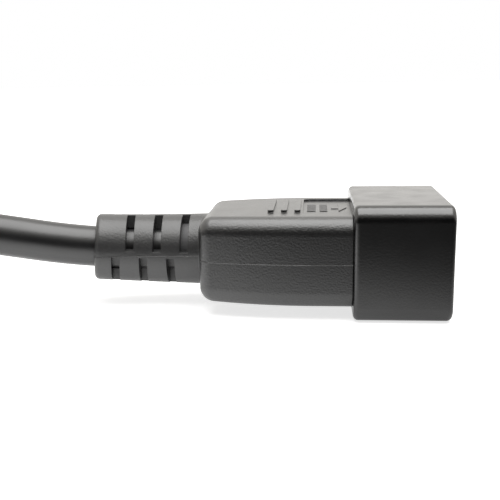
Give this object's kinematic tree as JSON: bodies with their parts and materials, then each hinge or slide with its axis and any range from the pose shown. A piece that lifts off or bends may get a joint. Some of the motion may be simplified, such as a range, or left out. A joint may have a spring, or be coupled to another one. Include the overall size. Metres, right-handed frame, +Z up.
{
  "type": "power cord plug",
  "caption": "Moulded C20 power plug with grip ribs and a slotted strain relief, on a thick round cord put away in a tied coil that ends in a C19 connector.",
  "frame": {"origin": "on the surface that the plug lies on, under the middle of the plug's length and width", "axes": "+X along the plug's axis, out of its mouth; +Z up; +Y to the left when looking along +X"},
  "size_m": [0.2617, 0.1577, 0.0512],
  "materials": {
    "rigid_black_plastic": "smooth moulded, soft gloss",
    "soft_black_pvc": "fine matte grain",
    "cord_jacket_pvc": "smooth extruded, soft sheen",
    "grey_inner_plastic": "plain moulded",
    "plated_brass": "nickel plated",
    "copper": "bare stranded",
    "insulation_black": "plain",
    "insulation_white": "plain",
    "insulation_green": "plain",
    "strap_fabric": "woven hook and loop"
  },
  "bodies": {
    "root": {"coil_tie": "strap_fabric", "conductor_earth": "copper", "conductor_line": "copper", "conductor_neutral": "copper", "connector_conductor_earth": "copper", "connector_conductor_line": "copper", "connector_conductor_neutral": "copper", "connector_contact_earth": "plated_brass", "connector_contact_line": "plated_brass", "connector_contact_neutral": "plated_brass", "connector_core_earth": "insulation_green", "connector_core_line": "insulation_black", "connector_core_neutral": "insulation_white", "connector_inner_mould": "grey_inner_plastic", "connector_nose": "rigid_black_plastic", "connector_overmould": "soft_black_pvc", "cord_coil": "cord_jacket_pvc", "cord_run": "cord_jacket_pvc", "cord_tail": "cord_jacket_pvc", "core_earth": "insulation_green", "core_line": "insulation_black", "core_neutral": "insulation_white", "grip_overmould": "soft_black_pvc", "inner_mould": "grey_inner_plastic", "pin_earth": "plated_brass", "pin_line": "plated_brass", "pin_neutral": "plated_brass", "shroud": "rigid_black_plastic"}
  },
  "joints": []
}
